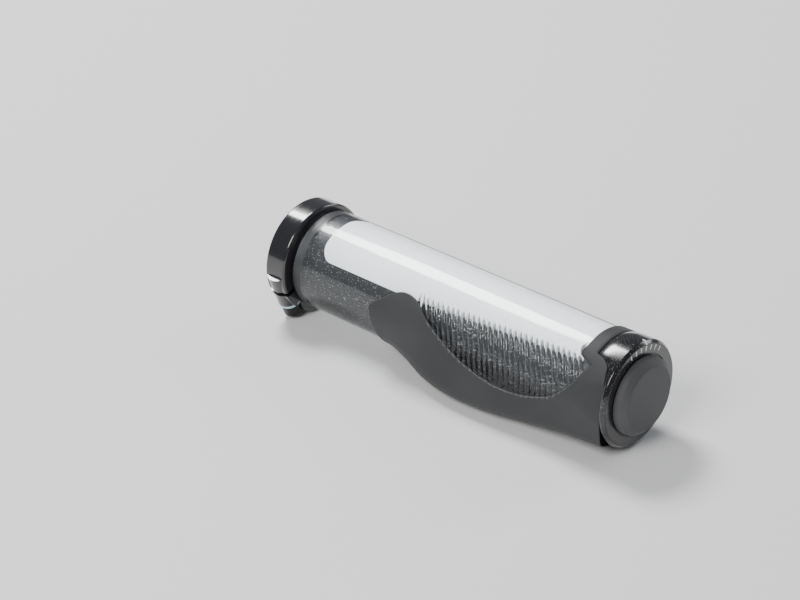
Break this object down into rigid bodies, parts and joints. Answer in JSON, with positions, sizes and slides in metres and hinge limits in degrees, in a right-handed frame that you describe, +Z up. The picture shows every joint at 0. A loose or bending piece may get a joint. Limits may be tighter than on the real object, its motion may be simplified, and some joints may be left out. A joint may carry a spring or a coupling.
{
  "type": "bicycle handlebar grip",
  "caption": "Ergonomic lock-on bicycle grip for a straight handlebar, with a clear ribbed sleeve, a rubber palm wing and an indexed bar-end plug.",
  "frame": {"origin": "on the axis of the handlebar bore, in the inboard face of the lock ring", "axes": "+X outboard along the handlebar, +Y to the front of the bicycle, +Z up; a right-hand grip"},
  "size_m": [0.146, 0.0399, 0.0382],
  "materials": {
    "core_nylon": "black satin nylon with a fine sparkle",
    "white_elastomer": "matt white elastomer foam",
    "clear_elastomer": "clear thermoplastic elastomer",
    "dark_rubber": "matt dark grey rubber with a fine grain",
    "black_anodised": "gloss black anodised aluminium",
    "blue_nylon": "pale blue nylon",
    "black_steel": "black oxide steel",
    "gloss_black": "gloss black moulded nylon with fine flecks",
    "white_ink": "white inlaid mark",
    "plug_nylon": "black moulded nylon",
    "zinc_steel": "zinc plated steel",
    "nut_brass": "turned brass",
    "cap_rubber": "matt grey rubber"
  },
  "bodies": {
    "grip": {"core_sleeve": "core_nylon", "damping_pad": "white_elastomer", "clear_sleeve": "clear_elastomer", "palm_wing": "dark_rubber", "lock_ring": "black_anodised", "end_collar": "gloss_black", "pointer_mark": "white_ink"},
    "clamp_washer": {"clamp_washer": "blue_nylon"},
    "clamp_screw": {"clamp_screw": "black_steel"},
    "end_plug": {"plug_body": "plug_nylon", "index_ring": "gloss_black", "index_ticks": "white_ink", "expander_sleeve": "plug_nylon", "screw_washer": "zinc_steel"},
    "expander_screw": {"expander_screw": "zinc_steel"},
    "wedge_nut": {"wedge_nut": "nut_brass"},
    "end_cap": {"end_cap": "cap_rubber"}
  },
  "joints": [
    {"name": "plug_index", "type": "hinge", "parent": "grip", "child": "end_plug", "pos_m": [0.142, 0, 0], "axis": [1, 0, 0], "range_deg": [-27, 27]},
    {"name": "clamp_travel", "type": "slide", "parent": "grip", "child": "clamp_washer", "axis": [0, 0.342, -0.9397], "range_m": [0, 0.0021]},
    {"name": "clamp_turn", "type": "hinge", "parent": "clamp_washer", "child": "clamp_screw", "pos_m": [0.00425, -0.01351, -0.01258], "axis": [0, 0.342, -0.9397], "range_deg": [0, 1080]},
    {"name": "expander_turn", "type": "hinge", "parent": "end_plug", "child": "expander_screw", "pos_m": [0.1396, 0, 0], "axis": [1, 0, 0], "range_deg": [0, 1080]},
    {"name": "wedge_travel", "type": "slide", "parent": "end_plug", "child": "wedge_nut", "axis": [1, 0, 0], "range_m": [0, 0.0024]},
    {"name": "cap_pull", "type": "slide", "parent": "end_plug", "child": "end_cap", "axis": [1, 0, 0], "range_m": [0, 0.012]}
  ],
  "couplings": [
    {"joint": "clamp_turn", "follows": "clamp_travel", "rad_per_m": 8976},
    {"joint": "expander_turn", "follows": "wedge_travel", "rad_per_m": 7854}
  ]
}
